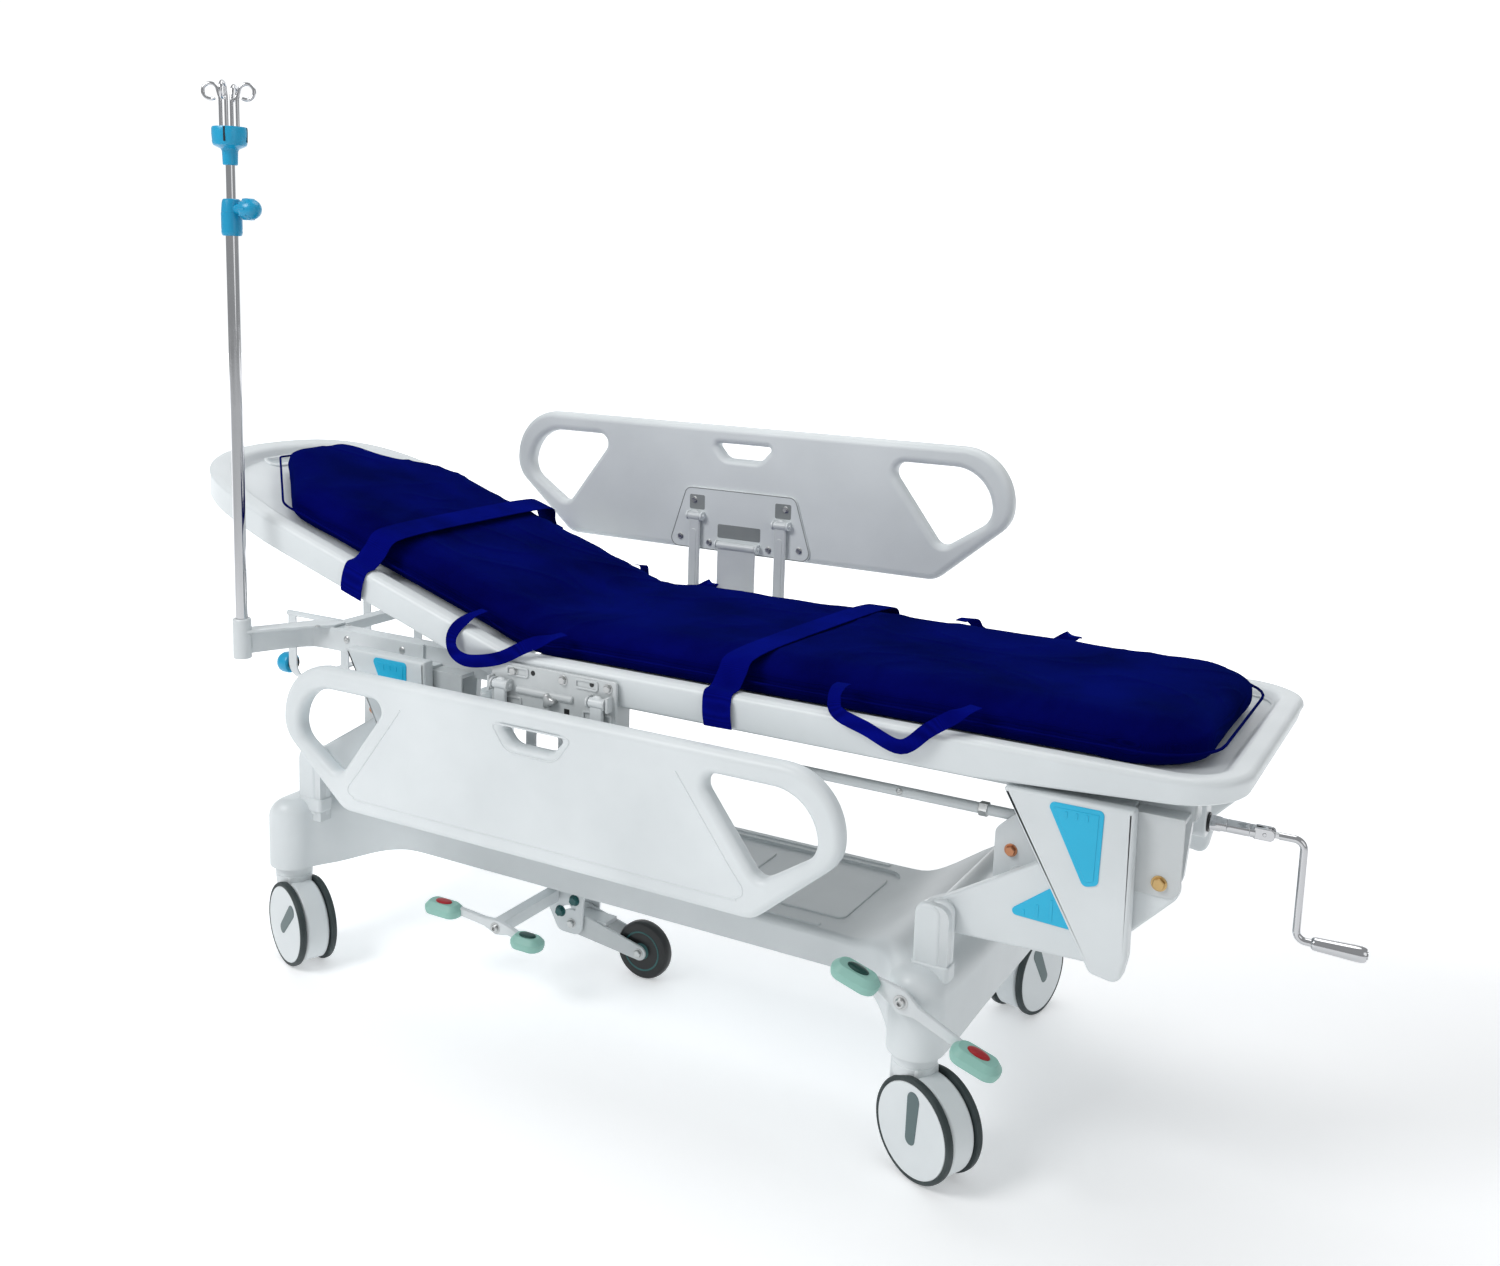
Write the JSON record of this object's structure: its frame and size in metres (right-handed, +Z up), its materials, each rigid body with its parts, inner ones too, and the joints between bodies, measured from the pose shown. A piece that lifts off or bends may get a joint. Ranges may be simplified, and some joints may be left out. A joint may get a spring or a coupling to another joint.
{
  "type": "stretcher trolley",
  "caption": "Wheeled hospital stretcher with a parallelogram lift, tilting backrest, fold-down side rails, infusion pole and hand crank.",
  "frame": {"origin": "on the floor, under the middle of the wheelbase", "axes": "+X along the trolley towards the foot end, +Y across it, +Z up"},
  "size_m": [2.0939, 0.7191, 1.5288],
  "materials": {
    "moulded_plastic": "fine-grained light grey moulding",
    "painted_steel": "smooth light grey powder coat",
    "cast_metal": "satin grey coat on castings and pressed links",
    "chrome": "bright chrome plate",
    "accent_plastic": "semi-gloss blue moulding",
    "tyre": "dark grey tyre on a light disc",
    "mattress_cover": "navy coated fabric",
    "webbing": "navy woven webbing"
  },
  "bodies": {
    "base": {"base_cover": "moulded_plastic", "base_frame": "painted_steel", "fifth_wheel_bracket": "painted_steel"},
    "castor_foot_near": {"castor_foot_near_fork": "moulded_plastic"},
    "castor_foot_near_wheel": {"castor_foot_near_wheel": "tyre"},
    "castor_foot_far": {"castor_foot_far_fork": "moulded_plastic"},
    "castor_foot_far_wheel": {"castor_foot_far_wheel": "tyre"},
    "castor_head_near": {"castor_head_near_fork": "moulded_plastic"},
    "castor_head_near_wheel": {"castor_head_near_wheel": "tyre"},
    "castor_head_far": {"castor_head_far_fork": "moulded_plastic"},
    "castor_head_far_wheel": {"castor_head_far_wheel": "tyre"},
    "fifth_wheel_fork": {"fifth_wheel_fork": "painted_steel"},
    "fifth_wheel": {"fifth_wheel": "tyre"},
    "centre_pedal": {"centre_pedal": "painted_steel"},
    "corner_pedal": {"corner_pedal": "painted_steel"},
    "foot_lift_yoke": {"foot_lift_yoke": "painted_steel"},
    "head_lift_yoke": {"head_lift_yoke": "painted_steel"},
    "tie_rod": {"tie_rod": "painted_steel"},
    "upper_frame": {"upper_frame": "painted_steel", "foot_lift_panel_near": "moulded_plastic", "foot_lift_panel_far": "moulded_plastic", "head_lift_panel_near": "moulded_plastic", "head_lift_panel_far": "moulded_plastic", "leg_deck": "moulded_plastic", "mattress_leg": "mattress_cover", "leg_strap": "webbing", "near_rail_bracket": "cast_metal", "far_rail_bracket": "cast_metal", "pole_bracket": "painted_steel", "crank_bearing": "painted_steel", "cylinder_cage": "painted_steel", "cage_knob": "accent_plastic"},
    "backrest": {"backrest_deck": "moulded_plastic", "mattress_back": "mattress_cover", "chest_strap": "webbing"},
    "near_rail_arms": {"near_rail_arm_head": "cast_metal", "near_rail_arm_foot": "cast_metal"},
    "near_rail_link": {"near_rail_link": "cast_metal"},
    "near_rail": {"near_rail_panel": "moulded_plastic", "near_rail_plate": "cast_metal"},
    "near_rail_knob": {"near_rail_knob": "cast_metal"},
    "far_rail_arms": {"far_rail_arm_head": "cast_metal", "far_rail_arm_foot": "cast_metal"},
    "far_rail_link": {"far_rail_link": "cast_metal"},
    "far_rail": {"far_rail_panel": "moulded_plastic", "far_rail_plate": "cast_metal"},
    "far_rail_knob": {"far_rail_knob": "cast_metal"},
    "pole_lower": {"pole_lower": "chrome", "pole_collar": "accent_plastic"},
    "pole_knob": {"pole_knob": "accent_plastic"},
    "pole_upper": {"pole_upper": "chrome", "pole_cup": "accent_plastic"},
    "pole_hook_1": {"pole_hook_1": "chrome"},
    "pole_hook_2": {"pole_hook_2": "chrome"},
    "pole_hook_3": {"pole_hook_3": "chrome"},
    "pole_hook_4": {"pole_hook_4": "chrome"},
    "crank_sleeve": {"crank_sleeve": "chrome"},
    "crank_arm": {"crank_arm": "chrome"},
    "crank_grip": {"crank_grip": "chrome"}
  },
  "joints": [
    {"name": "castor_foot_near_swivel", "type": "hinge", "parent": "base", "child": "castor_foot_near", "pos_m": [0.6006, -0.2806, 0.173], "axis": [0, 0, 1], "continuous": true},
    {"name": "castor_foot_near_roll", "type": "hinge", "parent": "castor_foot_near", "child": "castor_foot_near_wheel", "pos_m": [0.6311, -0.2948, 0.075], "axis": [0.4226, 0.9063, 0], "continuous": true},
    {"name": "castor_foot_far_swivel", "type": "hinge", "parent": "base", "child": "castor_foot_far", "pos_m": [0.6006, 0.2806, 0.173], "axis": [0, 0, 1], "continuous": true},
    {"name": "castor_foot_far_roll", "type": "hinge", "parent": "castor_foot_far", "child": "castor_foot_far_wheel", "pos_m": [0.5936, 0.2477, 0.075], "axis": [0.9781, -0.2079, 0], "continuous": true},
    {"name": "castor_head_near_swivel", "type": "hinge", "parent": "base", "child": "castor_head_near", "pos_m": [-0.6006, -0.2806, 0.173], "axis": [0, 0, 1], "continuous": true},
    {"name": "castor_head_near_roll", "type": "hinge", "parent": "castor_head_near", "child": "castor_head_near_wheel", "pos_m": [-0.5694, -0.2932, 0.075], "axis": [0.3746, 0.9272, 0], "continuous": true},
    {"name": "castor_head_far_swivel", "type": "hinge", "parent": "base", "child": "castor_head_far", "pos_m": [-0.6006, 0.2806, 0.173], "axis": [0, 0, 1], "continuous": true},
    {"name": "castor_head_far_roll", "type": "hinge", "parent": "castor_head_far", "child": "castor_head_far_wheel", "pos_m": [-0.5681, 0.2719, 0.075], "axis": [0.2588, 0.9659, 0], "continuous": true},
    {"name": "fifth_wheel_lift", "type": "hinge", "parent": "base", "child": "fifth_wheel_fork", "pos_m": [-0.1561, -0.0168, 0.0773], "axis": [0, -1, 0], "range_deg": [0, 12]},
    {"name": "fifth_wheel_roll", "type": "hinge", "parent": "fifth_wheel_fork", "child": "fifth_wheel", "pos_m": [-0.0175, -0.0168, 0.0528], "axis": [0, 1, 0], "continuous": true},
    {"name": "centre_pedal_rock", "type": "hinge", "parent": "base", "child": "centre_pedal", "pos_m": [-0.1922, -0.15, 0.126], "axis": [0, -1, 0], "range_deg": [0, 20]},
    {"name": "corner_pedal_rock", "type": "hinge", "parent": "base", "child": "corner_pedal", "pos_m": [0.5981, -0.32, 0.2671], "axis": [0, -1, 0], "range_deg": [0, 40]},
    {"name": "lift", "type": "hinge", "parent": "base", "child": "foot_lift_yoke", "pos_m": [0.6132, 0, 0.3612], "axis": [0, -1, 0], "range_deg": [-12, 30]},
    {"name": "head_yoke_turn", "type": "hinge", "parent": "base", "child": "head_lift_yoke", "pos_m": [-0.5628, 0, 0.3612], "axis": [0, -1, 0], "range_deg": [-12, 30]},
    {"name": "frame_level", "type": "hinge", "parent": "foot_lift_yoke", "child": "upper_frame", "pos_m": [0.9097, 0, 0.4813], "axis": [0, -1, 0], "range_deg": [-30, 12]},
    {"name": "tie_rod_level", "type": "hinge", "parent": "foot_lift_yoke", "child": "tie_rod", "pos_m": [0.714, -0.18, 0.504], "axis": [0, -1, 0], "range_deg": [-30, 12]},
    {"name": "backrest_tilt", "type": "hinge", "parent": "upper_frame", "child": "backrest", "pos_m": [-0.126, 0, 0.6283], "axis": [0, 1, 0], "range_deg": [-13, 57]},
    {"name": "near_rail_swing", "type": "hinge", "parent": "upper_frame", "child": "near_rail_arms", "pos_m": [-0.0294, -0.2982, 0.588], "axis": [-1, 0, 0], "range_deg": [0, 180]},
    {"name": "near_rail_level", "type": "hinge", "parent": "near_rail_arms", "child": "near_rail", "pos_m": [-0.0294, -0.2982, 0.394], "axis": [-1, 0, 0], "range_deg": [-180, 0]},
    {"name": "near_rail_link_turn", "type": "hinge", "parent": "upper_frame", "child": "near_rail_link", "pos_m": [-0.0294, -0.2982, 0.5376], "axis": [-1, 0, 0], "range_deg": [0, 180]},
    {"name": "near_rail_knob_pull", "type": "slide", "parent": "upper_frame", "child": "near_rail_knob", "axis": [0, -1, 0], "range_m": [0, 0.008], "stiffness_N_per_m": 400},
    {"name": "far_rail_swing", "type": "hinge", "parent": "upper_frame", "child": "far_rail_arms", "pos_m": [-0.0294, 0.2982, 0.588], "axis": [-1, 0, 0], "range_deg": [0, 180]},
    {"name": "far_rail_level", "type": "hinge", "parent": "far_rail_arms", "child": "far_rail", "pos_m": [-0.0294, 0.2982, 0.782], "axis": [-1, 0, 0], "range_deg": [-180, 0]},
    {"name": "far_rail_link_turn", "type": "hinge", "parent": "upper_frame", "child": "far_rail_link", "pos_m": [-0.0294, 0.2982, 0.5376], "axis": [-1, 0, 0], "range_deg": [0, 180]},
    {"name": "far_rail_knob_pull", "type": "slide", "parent": "upper_frame", "child": "far_rail_knob", "axis": [0, 1, 0], "range_m": [0, 0.008], "stiffness_N_per_m": 400},
    {"name": "pole_swivel", "type": "hinge", "parent": "upper_frame", "child": "pole_lower", "pos_m": [-0.6577, -0.336, 0.6266], "axis": [0, 0, 1], "continuous": true},
    {"name": "pole_height", "type": "slide", "parent": "pole_lower", "child": "pole_upper", "axis": [0, 0, 1], "range_m": [0, 0.55]},
    {"name": "pole_knob_turn", "type": "hinge", "parent": "pole_lower", "child": "pole_knob", "pos_m": [-0.6333, -0.336, 1.3238], "axis": [1, 0, 0], "range_deg": [0, 360]},
    {"name": "pole_hook_1_fold", "type": "hinge", "parent": "pole_upper", "child": "pole_hook_1", "pos_m": [-0.6457, -0.3291, 1.4465], "axis": [-0.5, 0.866, 0], "range_deg": [0, 90]},
    {"name": "pole_hook_2_fold", "type": "hinge", "parent": "pole_upper", "child": "pole_hook_2", "pos_m": [-0.6646, -0.324, 1.4465], "axis": [-0.866, -0.5, 0], "range_deg": [0, 90]},
    {"name": "pole_hook_3_fold", "type": "hinge", "parent": "pole_upper", "child": "pole_hook_3", "pos_m": [-0.6697, -0.343, 1.4465], "axis": [0.5, -0.866, 0], "range_deg": [0, 90]},
    {"name": "pole_hook_4_fold", "type": "hinge", "parent": "pole_upper", "child": "pole_hook_4", "pos_m": [-0.6507, -0.348, 1.4465], "axis": [0.866, 0.5, 0], "range_deg": [0, 90]},
    {"name": "crank_spin", "type": "hinge", "parent": "upper_frame", "child": "crank_sleeve", "pos_m": [0.937, -0.1008, 0.5225], "axis": [1, 0, 0], "range_deg": [-720, 1800]},
    {"name": "crank_fold", "type": "hinge", "parent": "crank_sleeve", "child": "crank_arm", "pos_m": [1.0122, -0.1008, 0.5225], "axis": [0, 1, 0], "range_deg": [0, 90]},
    {"name": "crank_grip_roll", "type": "hinge", "parent": "crank_arm", "child": "crank_grip", "pos_m": [1.1, -0.1008, 0.3839], "axis": [1, 0, 0], "continuous": true}
  ],
  "couplings": [
    {"joint": "centre_pedal_rock", "follows": "fifth_wheel_lift", "ratio": 1.6666},
    {"joint": "head_yoke_turn", "follows": "lift", "ratio": 1},
    {"joint": "frame_level", "follows": "lift", "ratio": -1},
    {"joint": "tie_rod_level", "follows": "lift", "ratio": -1},
    {"joint": "near_rail_level", "follows": "near_rail_swing", "ratio": -1},
    {"joint": "near_rail_link_turn", "follows": "near_rail_swing", "ratio": 1},
    {"joint": "far_rail_level", "follows": "far_rail_swing", "ratio": -1},
    {"joint": "far_rail_link_turn", "follows": "far_rail_swing", "ratio": 1},
    {"joint": "crank_spin", "follows": "lift", "ratio": 60}
  ]
}
